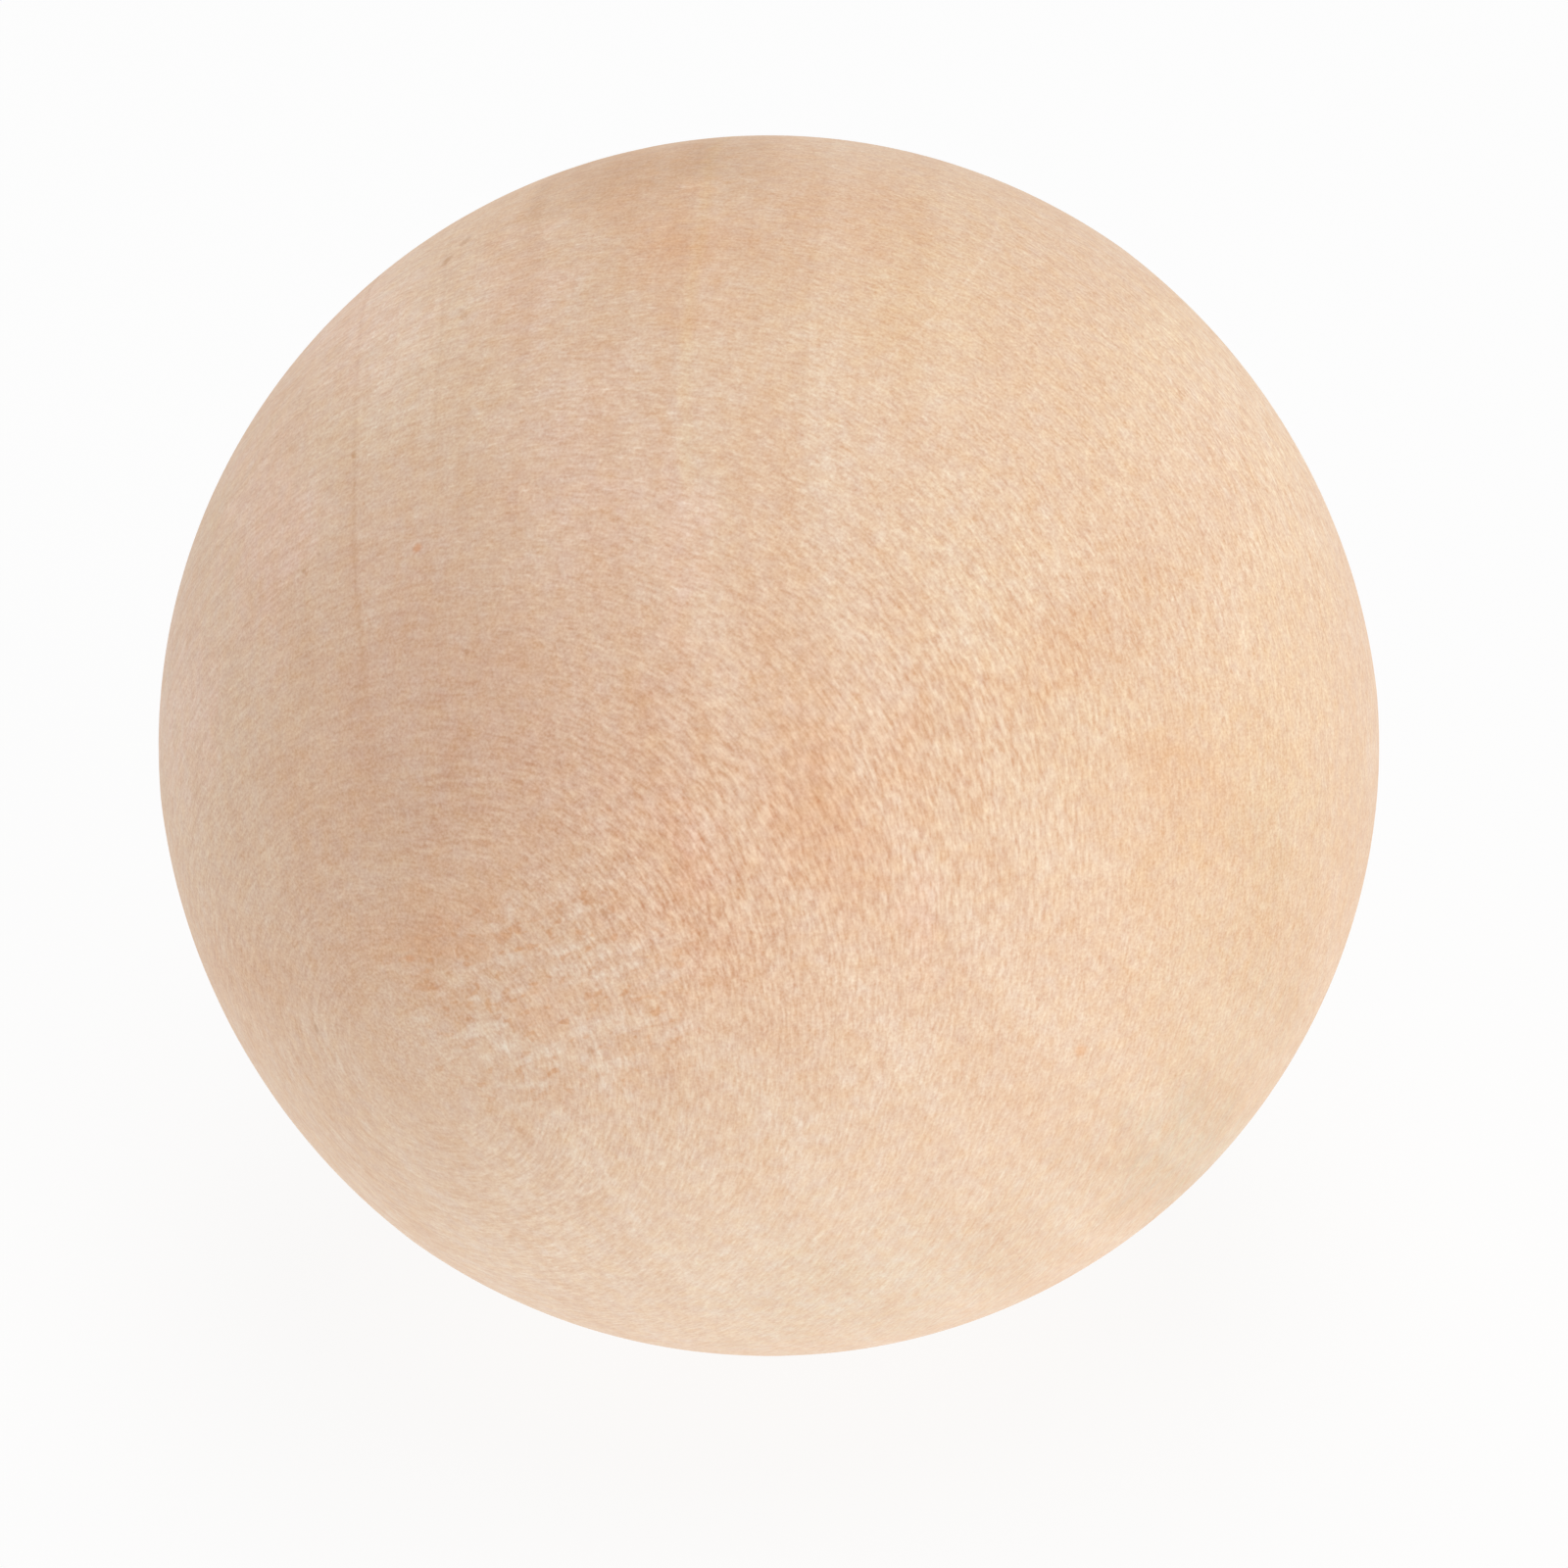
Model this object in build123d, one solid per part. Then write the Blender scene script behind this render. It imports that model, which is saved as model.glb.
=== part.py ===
from build123d import *
import math
import os

# A solid ball turned from one block of pale hardwood. Sizes are in millimetres and angles in degrees.
# The origin is the ball's centre, +Z is up, and the turning axis lies level along Y.

# The ball
ball_diameter = 50.0

# Drying has drawn the wood in across the growth rings, so the ball is a touch flat at both ends of one
# diameter. Each flat is a shallower dome, sunk a little below the true ball at its middle.
flat_depth = 0.15
flat_spread = 50.0

# Which way the flattened diameter points: its turn from +X towards +Y, and its rise above level
flat_turn = 41.0
flat_rise = 25.0

ball_radius = ball_diameter / 2


def flattened_ball():
    """One half section, spun about the flattened diameter, which stands along Z here."""
    half_spread = math.radians(flat_spread / 2)
    shoulder_radius = ball_radius * math.sin(half_spread)
    shoulder_height = ball_radius * math.cos(half_spread)
    flat_height = ball_radius - flat_depth
    with BuildPart() as ball:
        with BuildSketch(Plane.XZ):
            with BuildLine():
                TangentArc((0, flat_height), (shoulder_radius, shoulder_height), tangent=(1, 0))
                ThreePointArc(
                    (shoulder_radius, shoulder_height),
                    (ball_radius, 0),
                    (shoulder_radius, -shoulder_height),
                )
                TangentArc((0, -flat_height), (shoulder_radius, -shoulder_height), tangent=(1, 0))
                Line((0, -flat_height), (0, flat_height))
            make_face()
        revolve(axis=Axis.Z)
    return ball.part


def wooden_ball():
    """The ball as it lies, with the flattened diameter leaned over and turned to its own direction."""
    return Rot(Z=flat_turn) * Rot(Y=90 - flat_rise) * flattened_ball()


os.makedirs("parts", exist_ok=True)
export_step(wooden_ball(), "parts/ball.step")
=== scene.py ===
import bpy
from math import asin, cos, pi, radians, sin, sqrt, tan
from mathutils import Matrix, Vector


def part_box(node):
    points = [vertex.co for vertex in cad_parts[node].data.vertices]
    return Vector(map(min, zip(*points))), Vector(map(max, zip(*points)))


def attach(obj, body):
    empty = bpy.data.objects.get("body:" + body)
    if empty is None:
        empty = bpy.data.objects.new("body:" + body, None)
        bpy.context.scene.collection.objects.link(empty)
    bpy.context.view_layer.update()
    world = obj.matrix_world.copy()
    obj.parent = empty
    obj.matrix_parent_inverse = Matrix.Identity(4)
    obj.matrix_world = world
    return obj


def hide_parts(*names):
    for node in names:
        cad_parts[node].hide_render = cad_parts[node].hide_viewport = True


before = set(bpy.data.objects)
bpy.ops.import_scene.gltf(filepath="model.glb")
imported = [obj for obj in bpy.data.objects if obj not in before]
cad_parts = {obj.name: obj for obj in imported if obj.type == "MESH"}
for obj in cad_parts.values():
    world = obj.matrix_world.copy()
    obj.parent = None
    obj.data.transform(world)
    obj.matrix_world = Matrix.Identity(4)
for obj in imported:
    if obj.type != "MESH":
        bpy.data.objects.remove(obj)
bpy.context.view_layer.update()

scene = bpy.context.scene
scene.view_settings.view_transform = "Standard"


# The camera. A long lens looks down on the ball, from a little to the right of its end grain.
# The ball fills the same circle of the square frame as it does in the photograph.
photo_px = 1600
ball_px = Vector((784.6, 761.0))
ball_radius_px = 622.8
camera_turn = radians(24)
camera_rise = radians(32)
camera_reach = 0.4
mm_per_m = 1000

lowest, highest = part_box("ball")
ball_radius = (highest.z - lowest.z) / 2

to_right = Vector((cos(camera_turn), sin(camera_turn), 0))
level_way = Vector((sin(camera_turn), -cos(camera_turn), 0))
to_viewer = level_way * cos(camera_rise) + Vector((0, 0, sin(camera_rise)))
to_top = to_viewer.cross(to_right)

focal_px = ball_radius_px / tan(asin(ball_radius / camera_reach))
off_centre = (ball_px - Vector((photo_px / 2, photo_px / 2))) * camera_reach / focal_px
camera_place = to_viewer * camera_reach - to_right * off_centre.x + to_top * off_centre.y

lens = bpy.data.cameras.new("photo_lens")
lens.sensor_width = 36
lens.lens = lens.sensor_width * focal_px / photo_px
camera = bpy.data.objects.new("photo_camera", lens)
turned = Matrix((to_right, to_top, to_viewer)).transposed().to_4x4()
camera.matrix_world = Matrix.Translation(camera_place) @ turned
scene.collection.objects.link(camera)
scene.camera = camera


def seen(right, top, viewer):
    """A direction given as it looks in the photograph, as a unit vector of the ball's own frame."""
    return (to_right * right + to_top * top + to_viewer * viewer).normalized()


def on_ball(x_px, y_px):
    """The point of the ball under one pixel of the photograph, in millimetres from its centre."""
    sight = to_right * (x_px - photo_px / 2) + to_top * (photo_px / 2 - y_px) - to_viewer * focal_px
    sight.normalize()
    nearest = camera_place.dot(sight)
    reach = -nearest - sqrt(max(nearest ** 2 - camera_place.length_squared + ball_radius ** 2, 0))
    return (camera_place + sight * reach) * mm_per_m


# The ball: one block of pale hardwood, turned on a lathe between its two patches of end grain, then
# sanded and left bare. Drying has flattened it by a hair at both ends of one diameter.
# Lengths below are in millimetres from the ball's centre, as a turner would measure them.
radius = ball_radius * mm_per_m
flat_depth = 0.15
flat_spread = radians(50)
flat_turn = radians(41)
flat_rise = radians(25)
out_of_round = 0.02
tool_ripple = 0.004
ripples_per_mm = 4.2
squares_along_an_edge = 127


class Value:
    """One value or vector inside a node tree. Arithmetic on it adds Math nodes to that tree."""

    def __init__(self, tree, socket):
        self.tree = tree
        self.socket = socket

    def node(self, kind, settings, sockets, output=0):
        """Adds any other node beside this value, sets it up, feeds its sockets and gives one output."""
        made = self.tree.nodes.new(kind)
        for name, setting in settings.items():
            if name == "stops":
                ramp = made.color_ramp.elements
                while len(ramp) < len(setting):
                    ramp.new(0)
                for stop, (place, shade) in zip(ramp, setting):
                    stop.position = place
                    stop.color = (shade, shade, shade, 1)
            else:
                setattr(made, name, setting)
        for name, fed in sockets.items():
            if isinstance(fed, Value):
                self.tree.links.new(fed.socket, made.inputs[name])
            else:
                made.inputs[name].default_value = fed
        return Value(self.tree, made.outputs[output])

    def math(self, operation, *others):
        fed = {number: other for number, other in enumerate((self,) + others)}
        return self.node("ShaderNodeMath", {"operation": operation}, fed)

    def __add__(self, other):
        return self.math("ADD", other)

    __radd__ = __add__

    def __sub__(self, other):
        return self.math("SUBTRACT", other)

    def __rsub__(self, other):
        return self.node("ShaderNodeMath", {"operation": "SUBTRACT"}, {0: other, 1: self})

    def __mul__(self, other):
        return self.math("MULTIPLY", other)

    __rmul__ = __mul__

    def __truediv__(self, other):
        return self.math("DIVIDE", other)

    def __abs__(self):
        return self.math("ABSOLUTE")

    def vector_math(self, operation, *others, output="Vector"):
        fed = {number: other for number, other in enumerate((self,) + others)}
        return self.node("ShaderNodeVectorMath", {"operation": operation}, fed, output)

    def scaled_by(self, factor):
        return self.node("ShaderNodeVectorMath", {"operation": "SCALE"}, {0: self, "Scale": factor})

    def dot(self, direction):
        return self.vector_math("DOT_PRODUCT", direction, output="Value")

    def fade(self, full, none, amount=1.0):
        """`amount` at `full` and 0 at `none`, with a soft step between, and the same beyond each."""
        sockets = {"Value": self, "From Min": full, "From Max": none, "To Min": amount, "To Max": 0.0}
        return self.node("ShaderNodeMapRange", {"interpolation_type": "SMOOTHSTEP"}, sockets)


def noise(place, size, shift=0.0, detail=1.0, rough=0.5):
    """Soft lumps between about -1 and 1, `size` millimetres across, or one size for each axis.

    `shift` is the fixed seed: it takes the lumps from another part of the same noise.
    """
    sizes = size if isinstance(size, tuple) else (size, size, size)
    scaled = place.vector_math("MULTIPLY_ADD", [1 / s for s in sizes], (shift, shift * 0.7, shift * 1.3))
    sockets = {"Vector": scaled, "Scale": 1.0, "Detail": detail, "Roughness": rough}
    return (scaled.node("ShaderNodeTexNoise", {}, sockets) - 0.5) * 3.2


def latitude(place):
    """Millimetres round the ball from the middle of the end grain in front, where -Y comes out."""
    off_axis = place.vector_math("MULTIPLY", (1, 0, 1)).vector_math("LENGTH", output="Value")
    return off_axis.math("ARCTAN2", place.dot((0, -1, 0))) * radius


# The ball's mesh is a cube of small squares blown out to a sphere, so that it has no poles.
half_spread = flat_spread / 2
shoulder_radius = radius * sin(half_spread)
shoulder_drop = radius * (1 - cos(half_spread)) - flat_depth
dome_radius = (shoulder_radius ** 2 + shoulder_drop ** 2) / (2 * shoulder_drop)
dome_sink = dome_radius - (radius - flat_depth)
flat_way = Vector((cos(flat_turn) * cos(flat_rise), sin(flat_turn) * cos(flat_rise), sin(flat_rise)))


def turned_ball_tree():
    tree = bpy.data.node_groups.new("turned_ball", "GeometryNodeTree")
    tree.is_modifier = True
    inputs = {
        "Radius": ("NodeSocketFloat", radius),
        "Dome Radius": ("NodeSocketFloat", dome_radius),
        "Dome Sink": ("NodeSocketFloat", dome_sink),
        "Flat Direction": ("NodeSocketVector", flat_way),
        "Squares": ("NodeSocketInt", squares_along_an_edge),
        "Out Of Round": ("NodeSocketFloat", out_of_round),
        "Tool Ripple": ("NodeSocketFloat", tool_ripple),
        "Wood": ("NodeSocketMaterial", None),
    }
    for name, (kind, _) in inputs.items():
        tree.interface.new_socket(name, in_out="INPUT", socket_type=kind)
    tree.interface.new_socket("Ball", in_out="OUTPUT", socket_type="NodeSocketGeometry")
    entry = tree.nodes.new("NodeGroupInput")
    given = {name: Value(tree, entry.outputs[name]) for name in inputs}
    edge = given["Squares"] + 1
    edges = {"Vertices X": edge, "Vertices Y": edge, "Vertices Z": edge}
    cube = edge.node("GeometryNodeMeshCube", {}, {"Size": (pi / 2, pi / 2, pi / 2), **edges})
    outward = cube.node("GeometryNodeInputPosition", {}, {}).vector_math("TANGENT").vector_math("NORMALIZE")
    along = abs(outward.dot(given["Flat Direction"]))
    sunk = given["Dome Sink"]
    across_squared = (1 - along * along) * sunk * sunk
    dome = (given["Dome Radius"] * given["Dome Radius"] - across_squared).math("SQRT") - along * sunk
    size = dome.math("MINIMUM", given["Radius"])
    place = outward.scaled_by(radius)
    size = size + noise(place, 22, shift=3.1) * given["Out Of Round"]
    ripple = (latitude(place) * ripples_per_mm + noise(place, 6, shift=5.3) * 2.0).math("SINE")
    size = size + ripple * noise(place, 9, shift=8.0) * given["Tool Ripple"]
    metres = outward.scaled_by(size / mm_per_m)
    shaped = metres.node("GeometryNodeSetPosition", {}, {"Geometry": cube, "Position": metres})
    smooth = shaped.node("GeometryNodeSetShadeSmooth", {}, {"Geometry": shaped})
    real = smooth.node("GeometryNodeRealizeInstances", {}, {"Geometry": smooth})
    clad = real.node("GeometryNodeSetMaterial", {}, {"Geometry": real, "Material": given["Wood"]})
    leaving = tree.nodes.new("NodeGroupOutput")
    tree.links.new(clad.socket, leaving.inputs["Ball"])
    return tree, {name: value for name, (_, value) in inputs.items()}


# The wood's colour. Where it is darker it is browner, so red changes least and blue most, as pigment does.
base_tan = (0.780, 0.553, 0.386)
pigment_swing = (0.40, 1.0, 1.55)
pore_tint = (-0.06, -0.17, -0.26)

# The growth rings are nearly flat sheets, seen as upright lines that fold over below the middle and bend
# near the outline. They waver by a little everywhere.
ring_way = seen(0.90, 0.28, 0.33)
ring_fold_way = seen(-0.34, 0.93, 0.14)
ring_fold = 0.11
ring_fold_softness = 6.0
ring_slant = 0.04
ring_bend = 1.8
ring_waver = 0.12

# Each pair is a depth across the sheets in mm and how pale the wood is there. The depths lie between
# plus and minus the last ring's depth.
last_ring_depth = 25.0
ring_tones = [
    (-25.0, 0.510),
    (-18.0, 0.530),
    (-16.2, 0.495),
    (-15.2, 0.520),
    (-13.5, 0.500),
    (-12.0, 0.470),
    (-9.6, 0.505),
    (-8.5, 0.475),
    (-7.5, 0.475),
    (-7.1, 0.520),
    (-6.0, 0.505),
    (-4.5, 0.480),
    (-3.2, 0.505),
    (-2.0, 0.480),
    (-0.9, 0.480),
    (0.6, 0.515),
    (1.9, 0.515),
    (2.9, 0.480),
    (3.7, 0.475),
    (4.8, 0.520),
    (5.4, 0.485),
    (5.9, 0.490),
    (6.15, 0.535),
    (7.2, 0.535),
    (8.2, 0.475),
    (10.6, 0.475),
    (11.0, 0.550),
    (11.7, 0.530),
    (14.0, 0.480),
    (15.5, 0.530),
    (17.0, 0.490),
    (22.0, 0.510),
]

# Fine sheets that show as thin lines above the middle: depth and half thickness in mm, tint, strength, and
# the height in mm above the middle at which they end
fine_sheets = [
    (-7.85, 0.18, "umber", 0.40, 0.0),
    (-7.55, 0.20, "cream", 0.45, 0.0),
    (-4.3, 0.20, "cream", 0.30, 7.0),
    (-4.0, 0.18, "umber", 0.35, 7.0),
    (-0.2, 0.65, "umber", 0.42, 11.0),
    (6.1, 0.30, "umber", 0.30, 8.0),
    (6.55, 0.45, "straw", 1.0, 8.0),
    (10.85, 0.25, "umber", 0.25, 2.0),
]

# The torn fibre ends, or nap, lie in ovals round the end grain, longer along the rings than across them.
nap_way = seen(-0.554, -0.498, 0.667)
nap_short_way = seen(0.426, 0.519, 0.741)
nap_long_way = seen(-0.715, 0.695, -0.075)
nap_squeeze = 0.204

# The chips and pores of the end grain lie in rows along this way.
row_way = seen(0.97, 0.15, 0.2)

# A slightly darker belt runs across the ball from the lower left to the upper right, and the fibre is torn
# deepest there. Its middle lies this many mm from the ball's.
stain_way = seen(-0.45, 0.84, 0.31)
stain_offset = 4.7

# How strongly each pattern of the wood shows, first in its tone and then in how light its fibres look; that
# lightness is partly their own tone and partly painted shade and highlight of their relief
growth_tone = 0.03
stain_tone = 0.03
clump_tone = 0.045
mottle_tone = 0.045
blot_tone = 0.05
chip_tone = 0.12
ray_tone = 0.06
stroke_light = 0.295
comb_light = 0.085
arc_light = 0.12
speck_light = 0.185
glint_light = 0.12
nap_height = 0.006

# The edges of the patches wander to either side by up to half of wander_reach, in mm, in lumps about 2 mm
# across.
wander_reach = 5.0
wander_scale = 0.45

# Places that differ from the rest of the ball: the pixel each is seen at, and its half width and half height
# in mm. They are the end grain, a core with weaker specks, and an upper left part with pale glints.
grain_spot = (562, 1018, 7.9, 6.1)
core_spot = (930, 800, 14.0, 11.0)
glint_spot = (560, 400, 16.5, 15.4)

# Where the lathe's arcs show, and where the torn fibre is coarser or, with a minus, finer: a place as above,
# how far in from the edge it has its full strength, and that strength
arc_spots = [
    (475, 800, 7.0, 6.0, 0.8, 1.0),
    (800, 1290, 9.0, 4.0, 0.8, 0.45),
    (610, 1080, 6.5, 6.0, 0.7, 0.6),
    (520, 400, 5.0, 4.0, 0.7, 0.35),
]
coarse_spots = [
    (700, 910, 7.0, 9.0, 0.8, 0.3),
    (950, 830, 7.0, 9.0, 0.8, 0.2),
    (1230, 620, 8.0, 13.0, 0.8, -0.25),
    (1080, 420, 11.0, 9.0, 0.7, -0.2),
    (800, 1300, 14.0, 6.0, 0.7, -0.3),
]

# Patches of colour: the pixel each is seen at, its half width and half
# height in mm, lean in degrees, tint and strength. A tint is the share it adds to red, green and blue. Most
# run straight through the wood, but the grey patches, mostly along the lower and right rim, are painted
# shade, and the cream patches at the very bottom are painted bounce light from the white sheet.
tints = {
    "stain": (-0.01, -0.09, -0.15),
    "umber": (-0.10, -0.16, -0.21),
    "russet": (-0.02, -0.07, -0.08),
    "lilac": (0.03, 0.01, 0.05),
    "straw": (0.00, -0.01, -0.07),
    "amber": (0.04, -0.02, -0.05),
    "cream": (0.03, 0.06, 0.09),
    # Painted shade: makes the wood a little darker and bluer
    "grey_shade": (-0.05, -0.01, 0.0),
    "rose": (0.00, -0.02, 0.0),
    "honey": (0.02, 0.03, 0.0),
}
patches = [
    (770, 830, 14.0, 14.0, 0, "amber", 1.0),
    (1250, 850, 9.0, 16.0, 0, "straw", 0.8),
    # Painted bounce light: the white sheet's pale, bluish light on the lowest part of the ball
    (660, 1270, 18.0, 9.5, 0, "cream", 1.55),
    (500, 750, 9.5, 8.0, 0, "russet", 0.9),
    (350, 930, 4.0, 5.0, 0, "russet", 0.6),
    (745, 165, 3.0, 2.6, 0, "umber", 0.8),
    (640, 170, 6.5, 3.0, 20, "umber", 1.2),
    (700, 265, 3.5, 5.0, 0, "stain", 0.9),
    (865, 215, 5.0, 4.5, 0, "stain", 0.6),
    (960, 300, 5.5, 6.5, 0, "straw", 0.8),
    (425, 300, 5.0, 4.0, 45, "cream", 0.8),
    (375, 370, 6.0, 6.0, 0, "cream", 0.9),
    (275, 540, 3.0, 8.0, 0, "lilac", 1.4),
    (590, 480, 5.5, 8.0, 0, "lilac", 1.0),
    (190, 770, 3.0, 7.0, 0, "cream", 0.9),
    (330, 810, 4.0, 6.0, 0, "stain", 0.5),
    (690, 560, 1.8, 7.5, 0, "lilac", 0.8),
    (775, 450, 2.2, 5.5, 0, "stain", 0.25),
    (938, 562, 2.2, 2.2, 0, "cream", 0.5),
    (480, 905, 3.6, 4.6, 20, "stain", 0.8),
    (440, 965, 4.0, 2.8, 0, "stain", 0.9),
    (555, 1031, 2.0, 2.0, 0, "stain", 0.8),
    (695, 950, 4.0, 6.0, 20, "stain", 0.5),
    (664, 815, 2.4, 2.2, 0, "russet", 0.5),
    (711, 868, 2.2, 2.6, 0, "lilac", 0.8),
    (838, 850, 3.0, 5.6, 20, "stain", 0.5),
    (1200, 765, 3.0, 3.0, 0, "stain", 0.5),
    (930, 790, 2.0, 2.6, 0, "stain", 0.4),
    (1060, 675, 5.0, 2.6, 20, "stain", 0.5),
    (1150, 625, 5.0, 3.0, 45, "umber", 0.2),
    (1190, 890, 8.0, 8.0, 0, "stain", 0.3),
    (1380, 850, 3.0, 6.0, 0, "umber", 0.3),
    (1265, 640, 1.6, 5.0, 0, "cream", 0.6),
    (1270, 440, 5.0, 8.5, 45, "cream", 1.0),
    (1230, 1140, 4.0, 8.0, -45, "umber", 0.4),
    (945, 940, 1.2, 4.0, 0, "lilac", 0.8),
    (885, 1115, 1.2, 5.5, -45, "cream", 0.7),
    (250, 1000, 3.0, 5.0, 20, "stain", 0.5),
    (1310, 980, 4.0, 5.5, 0, "umber", 0.35),
    # The grey patches here and further down are painted shade along the lower and right rim.
    (1220, 1200, 5.0, 5.0, 0, "grey_shade", 0.9),
    (880, 1310, 13.0, 4.5, 0, "grey_shade", 0.6),
    (400, 690, 5.0, 8.0, 0, "russet", 0.5),
    (190, 700, 2.5, 6.5, 0, "lilac", 1.2),
    (360, 330, 4.5, 4.5, 0, "lilac", 1.2),
    (530, 300, 3.0, 4.5, 0, "lilac", 0.8),
    (660, 245, 4.5, 3.0, 0, "stain", 0.5),
    (450, 850, 18.0, 20.0, 0, "rose", 0.7),
    (800, 250, 10.0, 6.0, 0, "umber", 0.22),
    (500, 360, 4.5, 4.5, 0, "cream", 0.4),
    (275, 510, 2.5, 4.0, 0, "cream", 0.6),
    (1000, 600, 6.0, 6.5, 0, "honey", 0.8),
    (1210, 340, 4.5, 4.0, 45, "honey", 1.0),
    (1320, 590, 3.5, 8.0, 0, "honey", 0.7),
    (440, 805, 4.0, 4.5, 0, "umber", 0.2),
    (615, 765, 3.0, 3.0, 0, "umber", 0.35),
    (870, 755, 3.8, 3.0, 0, "cream", 0.45),
    (1090, 740, 5.0, 4.5, 0, "straw", 0.5),
    (930, 1060, 6.0, 8.0, 0, "cream", 0.4),
    (1300, 850, 3.5, 4.0, 0, "grey_shade", 0.5),
    (1270, 1060, 7.0, 10.0, 20, "grey_shade", 0.7),
    (530, 1035, 3.0, 3.0, 0, "cream", 0.35),
    (1225, 800, 6.0, 7.0, 0, "umber", 0.18),
    (1290, 850, 4.0, 4.0, 0, "umber", 0.15),
    (1010, 840, 6.0, 5.0, 0, "straw", 0.4),
    (830, 935, 4.0, 4.0, 0, "umber", 0.15),
    (850, 340, 6.0, 5.0, 0, "straw", 0.5),
    (1130, 420, 4.5, 7.0, 0, "straw", 0.5),
    (615, 250, 3.0, 3.0, 0, "umber", 0.2),
    (430, 385, 7.0, 5.0, 0, "cream", 0.35),
    # Painted bounce light low on the ball
    (540, 1270, 5.0, 4.0, 0, "cream", 0.4),
    (190, 810, 2.5, 5.0, 0, "stain", 0.25),
    (1180, 1180, 7.0, 5.0, 0, "grey_shade", 0.4),
    (430, 880, 8.0, 8.0, 0, "grey_shade", 0.3),
    (740, 870, 4.0, 3.0, 0, "umber", 0.12),
    (705, 1055, 3.0, 4.0, 0, "stain", 0.25),
    (570, 590, 5.0, 6.0, 0, "stain", 0.2),
    (400, 555, 5.0, 5.0, 0, "rose", 0.9),
    (750, 550, 4.0, 5.0, 0, "stain", 0.2),
    (1300, 430, 3.0, 5.0, 0, "honey", 0.8),
    (1130, 1190, 7.0, 5.0, 0, "grey_shade", 0.4),
    # Painted bounce light and painted shade at the bottom rim
    (930, 1290, 7.0, 4.0, 0, "cream", 0.3),
    (930, 1290, 9.0, 5.0, 0, "grey_shade", 0.3),
    (615, 1105, 3.5, 3.5, 0, "stain", 0.4),
    (445, 935, 3.0, 3.0, 0, "stain", 0.3),
    (370, 390, 5.0, 6.0, 0, "cream", 0.3),
    (270, 550, 4.0, 6.0, 0, "cream", 0.25),
    (1040, 1275, 6.0, 5.0, 0, "grey_shade", 0.35),
    (830, 1350, 7.0, 4.0, 0, "grey_shade", 0.3),
    (1320, 790, 5.0, 6.0, 0, "honey", 0.5),
]

# Small flecks, given in the same way
flecks = [
    (426, 559, 0.31, 0.22, 45, "stain", 2.6),
    (456, 266, 0.48, 0.13, 45, "umber", 1.7),
    (475, 246, 0.46, 0.15, 45, "umber", 1.4),
    (473, 321, 0.26, 0.36, 45, "umber", 1.0),
    (361, 465, 0.17, 0.17, 0, "umber", 1.4),
    (476, 665, 0.17, 0.17, 0, "umber", 1.6),
    (310, 583, 0.16, 0.16, 0, "umber", 1.6),
    (325, 565, 0.13, 0.13, 0, "umber", 1.3),
    (616, 932, 0.29, 0.17, -45, "umber", 1.7),
    (602, 1073, 0.17, 0.31, 0, "umber", 1.4),
    (418, 978, 0.31, 0.22, 0, "stain", 1.6),
    (701, 190, 0.54, 0.14, 0, "cream", 2.2),
    (768, 184, 0.42, 0.14, 0, "cream", 2.0),
    (1103, 1072, 0.36, 0.36, 0, "stain", 1.6),
    (323, 1050, 0.12, 0.41, 20, "umber", 1.8),
]

# Fine scratches, each along the flat cut through three pixels: those pixels, the middle pixel and half length
# in mm of the stretch that shows, and its strength
scratch_half_width = 0.09
scratches = [
    ((1020, 215), (987, 286), (900, 371), (968, 290), 5.4, 1.2),
    ((831, 155), (828, 186), (809, 224), (824, 188), 2.4, -0.8),
    ((1000, 760), (1012, 800), (1018, 840), (1010, 800), 2.2, 0.9),
]


def laid(place, *parts):
    """A vector built from three values: a place laid out in another frame."""
    return place.node("ShaderNodeCombineXYZ", {}, dict(enumerate(parts)))


def flattened(place):
    """A place as it looks from far in front of the photograph, with its depth left out."""
    return laid(place, place.dot(to_right), place.dot(to_top), 0.0)


def oval(view, x_px, y_px, half_width, half_height, lean=0):
    """1 at the middle of an oval seen on the ball, and 0 at its edge and outside it."""
    middle = on_ball(x_px, y_px)
    oval_ball = view.node("ShaderNodeTexGradient", {"gradient_type": "SPHERICAL"}, {"Vector": view}, 1)
    fit = oval_ball.socket.node.texture_mapping
    fit.vector_type = "TEXTURE"
    fit.translation = (middle.dot(to_right), middle.dot(to_top), 0)
    fit.rotation = (0, 0, radians(lean))
    fit.scale = (half_width, half_height, 1)
    return oval_ball


def tinted(pigment, amounts):
    """A colour factor changed by each tint, as far as the amount given for it says."""
    for tint, amount in amounts.items():
        fed = {0: tints[tint], "Scale": amount}
        change = amount.node("ShaderNodeVectorMath", {"operation": "SCALE"}, fed)
        pigment = pigment.vector_math("ADD", change)
    return pigment


def spotted(view, spots):
    """The sum of some spots, each with its own strength."""
    total = 0.0
    for x_px, y_px, half_width, half_height, full, strength in spots:
        total = oval(view, x_px, y_px, half_width, half_height).fade(full, 0.0, strength) + total
    return total


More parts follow.
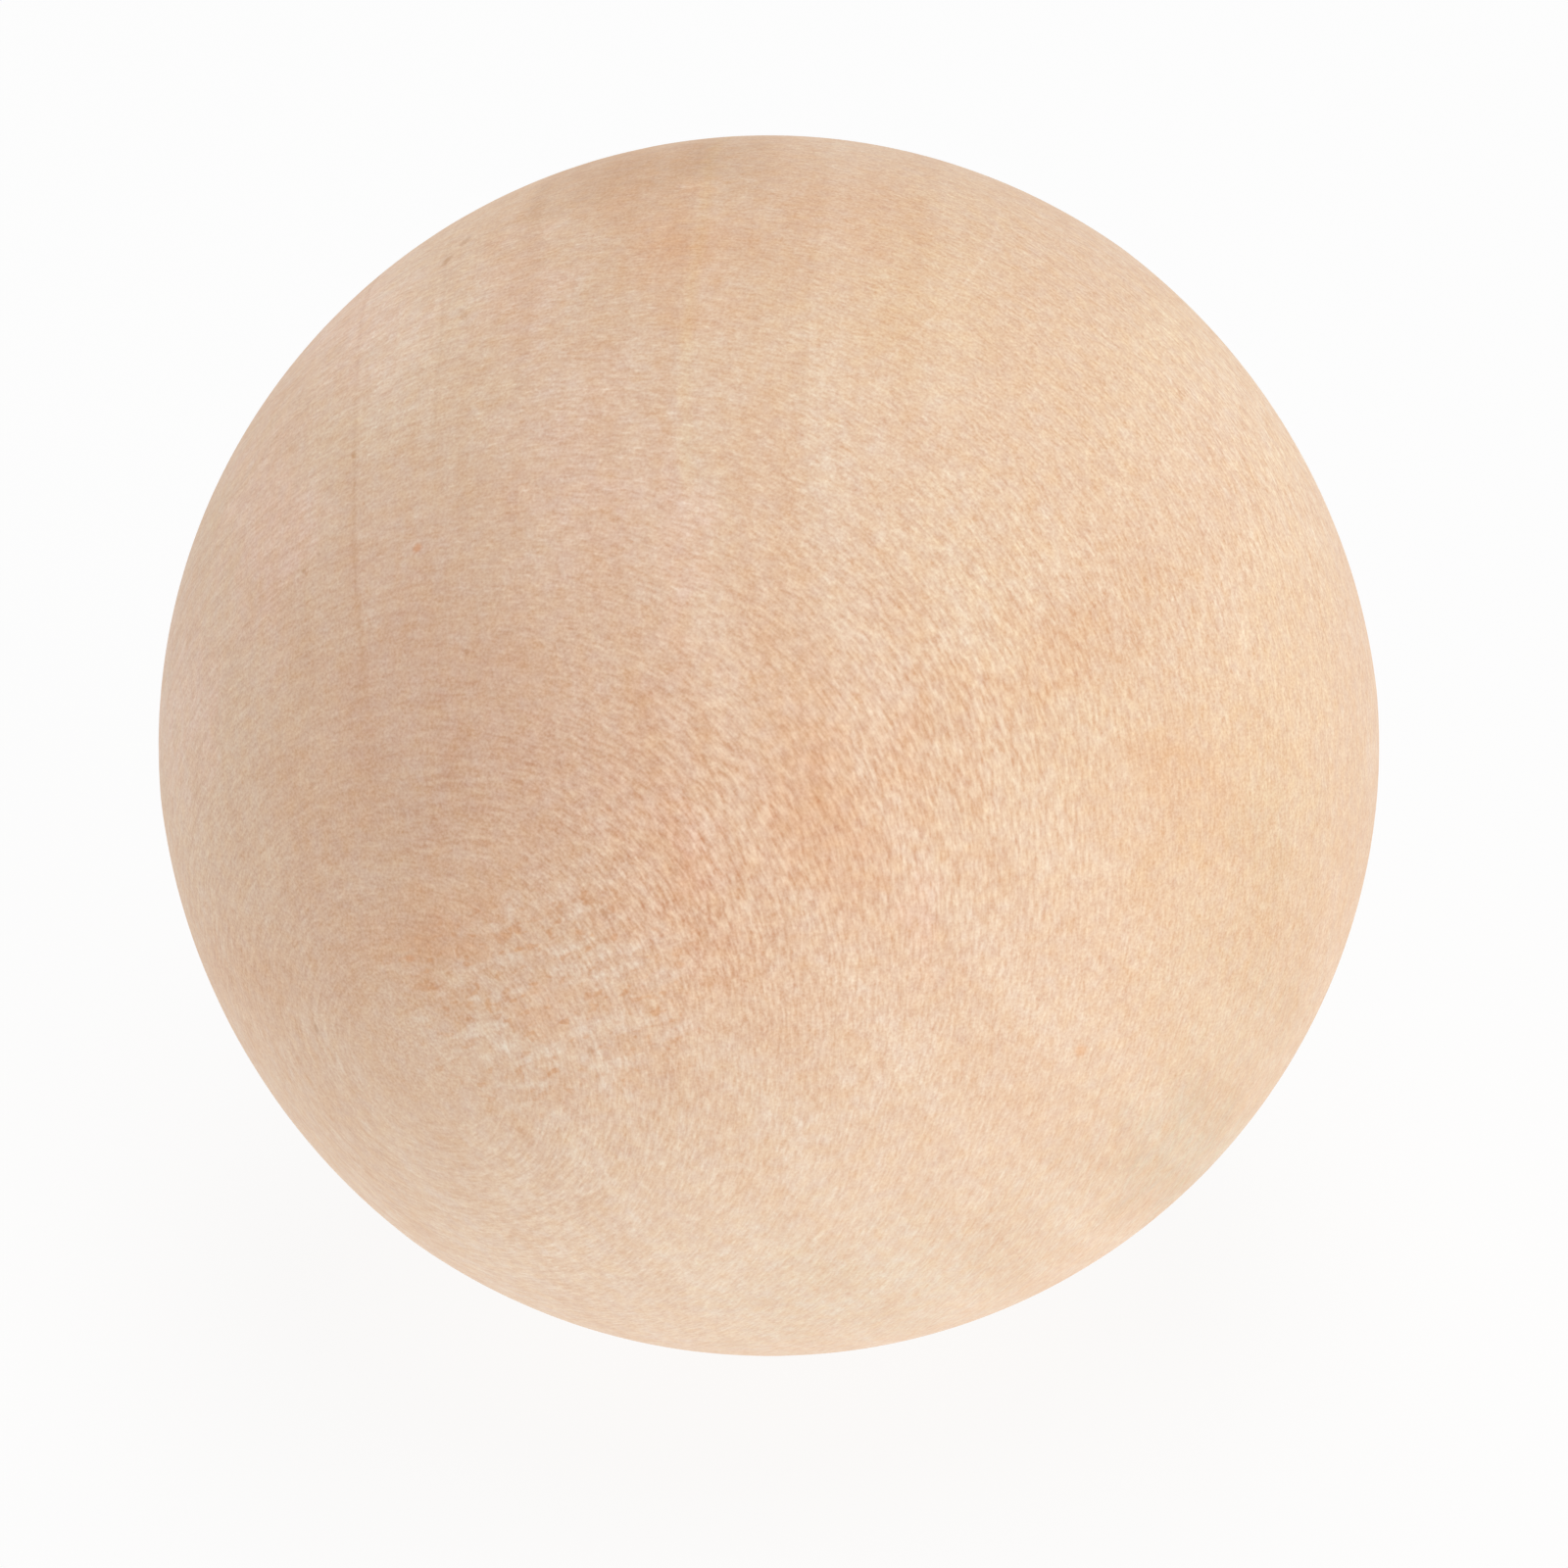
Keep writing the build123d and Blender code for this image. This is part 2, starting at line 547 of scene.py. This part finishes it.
def bare_wood():
    material = bpy.data.materials.new("bare_wood")
    material.use_nodes = True
    tree = material.node_tree
    tree.nodes.clear()
    coordinates = tree.nodes.new("ShaderNodeTexCoord")
    place = Value(tree, coordinates.outputs["Object"]).vector_math("MULTIPLY", [mm_per_m] * 3)
    sockets = {"Vector": place, "Scale": wander_scale, "Detail": 2.0}
    wander = place.node("ShaderNodeTexNoise", {}, sockets, 1)
    wander = wander.vector_math("MULTIPLY_ADD", [wander_reach] * 3, [-wander_reach / 2] * 3)
    loose = place.vector_math("ADD", wander)
    view = flattened(loose)
    sharp_view = flattened(place)
    rightward = place.dot(to_right)
    upward = place.dot(to_top)

    # Growth rings
    fold = place.dot(ring_fold_way)
    folded = (fold * fold + ring_fold_softness).math("SQRT") * ring_fold - fold * ring_slant
    bend = place.dot(to_viewer).fade(2.0, 16.0, ring_bend)
    depth = place.dot(ring_way) - folded + bend + noise(place, 9, shift=1.7) * ring_waver
    ramp_place = (depth + last_ring_depth) / (last_ring_depth * 2)
    stops = [((d + last_ring_depth) / (last_ring_depth * 2), tone) for d, tone in ring_tones]
    rings = ramp_place.node("ShaderNodeValToRGB", {"stops": stops}, {0: ramp_place})
    ring_tone = rings.node("ShaderNodeRGBToBW", {}, {0: rings}) - 0.5
    growth = noise(laid(place, depth, fold, place.dot((0, 1, 0))), (0.32, 12, 12), shift=3.0)

    # Torn fibre ends: short ticks, finer combed fibre on the left, and clumps of them
    stain = loose.dot(stain_way) - stain_offset
    stain_mask = (stain * stain / 3.5 * -1).math("EXPONENT")
    rough_mask = (stain * stain / 60.0 * -1).math("EXPONENT") * 0.45 + 0.52
    left_mask = rightward.fade(-15.0, -6.0)
    short_part = place.dot(nap_short_way)
    long_part = place.dot(nap_long_way)
    polar = (place.dot(nap_way) / radius).math("ARCCOSINE") * radius
    stretch = (short_part * short_part - long_part * long_part) * (nap_squeeze / radius)
    nap_place = laid(place, short_part, polar - stretch, long_part)
    ticks = noise(nap_place, (0.52, 0.16, 0.52), shift=7.0, rough=0.6)
    combed = noise(nap_place, (2.4, 0.24, 2.4), shift=17.0)
    clumps = noise(nap_place, (1.0, 0.45, 1.0), shift=11.0, detail=2.0)

    # Marks with no direction, from specks of one fibre to blots and a broad mottle
    specks = noise(place, 0.12, shift=2.0)
    blots = noise(place, 0.55, shift=4.0)
    mottle = noise(place, 3.0, shift=5.0, detail=2.0, rough=0.6)

    # The lathe has left fine arcs round the turning axis, beside the end grain and below it.
    turns = laid(place, latitude(place), place.dot((1, 0, 0)), place.dot((0, 0, 1)))
    arcs = noise(turns, (0.30, 2.6, 2.6), shift=13.0) * spotted(view, arc_spots)

    # End grain: rows of pale chips with brown pores between them, crossed by the thin pale lines of the rings
    grain_mask = oval(view, *grain_spot).fade(0.57, 0.0)
    row_place = laid(place, place.dot(row_way), fold, place.dot(nap_way))
    chips = 1 - noise(row_place, (1.6, 0.50, 4.0), shift=6.0).fade(-0.05, 0.50)
    pores = noise(row_place, (0.50, 0.36, 4.0), shift=21.0).fade(-0.60, -0.15) * (1 - chips * 0.8)
    sheets = noise(laid(place, depth, fold, place.dot(nap_way)), (1.1, 3.0, 5.0), shift=9.0, detail=0.0)
    rays = abs(sheets).fade(0.0, 0.14)

    # The pigment: the tone of all patterns, then pores and patches of colour
    tone = ring_tone + growth * growth_tone - stain_mask * stain_tone
    tone = tone + clumps * clump_tone + mottle * mottle_tone + blots * blot_tone
    tone = tone + grain_mask * (chips * chip_tone + rays * ray_tone)
    amounts = {}
    for x_px, y_px, half_width, half_height, lean, tint, strength in patches:
        amount = oval(view, x_px, y_px, half_width, half_height, lean).fade(0.9, 0.0, strength)
        amounts[tint] = amount + amounts.get(tint, 0.0)
    stains = tinted(laid(place, 0.0, 0.0, 0.0), amounts)
    pigment = tone.vector_math("MULTIPLY_ADD", pigment_swing, (1, 1, 1))
    pigment = (grain_mask * pores).vector_math("MULTIPLY_ADD", pore_tint, pigment)
    pigment = stains.vector_math("MULTIPLY_ADD", clumps * 0.4 + ticks * 0.3 + 1, pigment)

    # Marks with sharp edges: the thin lines of the rings, flecks and scratches
    amounts = {}
    faint = clumps * 0.4 + 1
    for sheet_depth, half_thickness, tint, strength, lowest_height in fine_sheets:
        upper_mask = upward.fade(lowest_height + 5.0, lowest_height)
        amount = abs(depth - sheet_depth).fade(0.0, half_thickness, strength) * upper_mask * faint
        amounts[tint] = amount + amounts.get(tint, 0.0)
    for x_px, y_px, half_width, half_height, lean, tint, strength in flecks:
        amount = oval(sharp_view, x_px, y_px, half_width, half_height, lean).fade(0.75, 0.0, strength)
        amounts[tint] = amount + amounts.get(tint, 0.0)
    for first, second, third, middle, half_length, strength in scratches:
        start = on_ball(*first)
        cut_way = (on_ball(*second) - start).cross(on_ball(*third) - start).normalized()
        amount = abs(place.dot(cut_way) - cut_way.dot(start)).fade(0.0, scratch_half_width, strength)
        amount = amount * oval(sharp_view, *middle, half_length, half_length).fade(0.3, 0.0)
        amounts["cream"] = amount + amounts.get("cream", 0.0)
    pigment = tinted(pigment, amounts)

    # How light each fibre looks: partly its own tone and partly painted shade and highlight of its raised
    # relief. The strokes fade out at both poles of the nap, where they would make rings.
    coarse = spotted(view, coarse_spots) - grain_mask * 0.3 + 1
    pole_mask = polar.math("MINIMUM", radius * pi - polar).fade(1.0, 5.0) * 0.9
    strokes = ticks * rough_mask * (1 - left_mask * 0.5) * coarse * stroke_light
    strokes = (strokes + combed * left_mask * comb_light) * (1 - pole_mask)
    glint_mask = oval(view, *glint_spot).fade(0.73, 0.0)
    glints = (1 - ticks.fade(0.50, 1.00)) * glint_mask * glint_light
    core_mask = oval(view, *core_spot).fade(0.8, 0.0)
    specks = specks * (speck_light - upward.fade(-18.0, -8.0) * 0.08 - core_mask * 0.07)
    specks = specks * (1 - glint_mask * 0.12 + pole_mask * 0.3)
    # The fibre's own tone together with painted shade and highlight of its relief, multiplied into the colour
    # below
    fibre_tone_and_painted_shade = strokes + glints + arcs * arc_light + specks
    tinge = noise(place, 0.65, shift=15.0)
    shade = laid(fibre_tone_and_painted_shade, fibre_tone_and_painted_shade * 0.50 + tinge * 0.018 + 1, fibre_tone_and_painted_shade + 1, fibre_tone_and_painted_shade * 1.30 - tinge * 0.055 + 1)
    colour = pigment.vector_math("MULTIPLY", base_tan).vector_math("MULTIPLY", shade)

    height = ticks * nap_height
    bump = height.node("ShaderNodeBump", {}, {"Strength": 1.0, "Distance": 1 / mm_per_m, "Height": height})
    finish = {"Base Color": colour, "Roughness": 0.6, "Specular IOR Level": 0.4, "Normal": bump}
    shader = bump.node("ShaderNodeBsdfPrincipled", {}, finish)
    leaving = tree.nodes.new("ShaderNodeOutputMaterial")
    tree.links.new(shader.socket, leaving.inputs["Surface"])
    return material


wood = bare_wood()
tree, values = turned_ball_tree()
values["Wood"] = wood
blank = bpy.data.objects.new("ball_blank", bpy.data.meshes.new("ball_blank"))
scene.collection.objects.link(blank)
lathe = blank.modifiers.new("turning", "NODES")
lathe.node_group = tree
for item in tree.interface.items_tree:
    if item.in_out == "INPUT":
        lathe[item.identifier] = values[item.name]
turned_mesh = bpy.data.meshes.new_from_object(blank.evaluated_get(bpy.context.evaluated_depsgraph_get()))
bpy.data.objects.remove(blank)
turned_mesh.name = "turned_ball"
turned_ball = bpy.data.objects.new("turned_ball", turned_mesh)
scene.collection.objects.link(turned_ball)
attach(turned_ball, "root")
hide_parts("ball")


# The table: a plain white sheet under the ball, which shows white to the camera and keeps a faint shadow.
sheet_size = 3.0
paper_colour = (0.9, 0.9, 0.9, 1)
shadow_share = 0.12
bounce_light = 1.05

sheet_mesh = bpy.data.meshes.new("white_sheet")
half = sheet_size / 2
corners = [(-half, -half, lowest.z), (half, -half, lowest.z), (half, half, lowest.z), (-half, half, lowest.z)]
sheet_mesh.from_pydata(corners, [], [(0, 1, 2, 3)])
white_sheet = bpy.data.objects.new("white_sheet", sheet_mesh)
scene.collection.objects.link(white_sheet)


def white_paper():
    material = bpy.data.materials.new("white_paper")
    material.use_nodes = True
    tree = material.node_tree
    tree.nodes.clear()
    path = Value(tree, tree.nodes.new("ShaderNodeLightPath").outputs["Is Camera Ray"])
    paper = path.node("ShaderNodeBsdfDiffuse", {}, {"Color": paper_colour})
    glow = path.node("ShaderNodeEmission", {}, {"Color": (1, 1, 1, 1), "Strength": 1.0})
    to_camera = path.node("ShaderNodeMixShader", {}, {0: shadow_share, 1: glow, 2: paper})
    bounce = path.node("ShaderNodeEmission", {}, {"Color": (1, 1, 1, 1), "Strength": bounce_light})
    surface = path.node("ShaderNodeMixShader", {}, {0: path, 1: bounce, 2: to_camera})
    leaving = tree.nodes.new("ShaderNodeOutputMaterial")
    tree.links.new(surface.socket, leaving.inputs["Surface"])
    return material


paper_material = white_paper()
paper_material.cycles.emission_sampling = "NONE"
sheet_mesh.materials.append(paper_material)


# The light: a soft white room, a large lamp low on the right, and weaker ones overhead and high in front.
room_light = 0.55
lamp_reach = 0.6
lamp_size = 0.35
lamps = {
    "low_right": (seen(0.8, -0.3, 0.5), 1.88),
    "overhead": (seen(0.05, 1.0, 0.1), 0.79),
    "high_front": (seen(0.1, 0.7, 0.7), 0.68),
}

for name, (way, watts) in lamps.items():
    glow = bpy.data.lights.new(name, "AREA")
    glow.shape = "DISK"
    glow.size = lamp_size
    glow.energy = watts
    lamp = bpy.data.objects.new(name, glow)
    lamp.location = way * lamp_reach
    lamp.rotation_euler = way.to_track_quat("Z", "Y").to_euler()
    scene.collection.objects.link(lamp)

room = bpy.data.worlds.new("white_room")
scene.world = room
room.use_nodes = True
room.node_tree.nodes.clear()
path = Value(room.node_tree, room.node_tree.nodes.new("ShaderNodeLightPath").outputs["Is Camera Ray"])
strength = room_light + path * (1 - room_light)
air = path.node("ShaderNodeBackground", {}, {"Color": (1, 1, 1, 1), "Strength": strength})
leaving = room.node_tree.nodes.new("ShaderNodeOutputWorld")
room.node_tree.links.new(air.socket, leaving.inputs["Surface"])
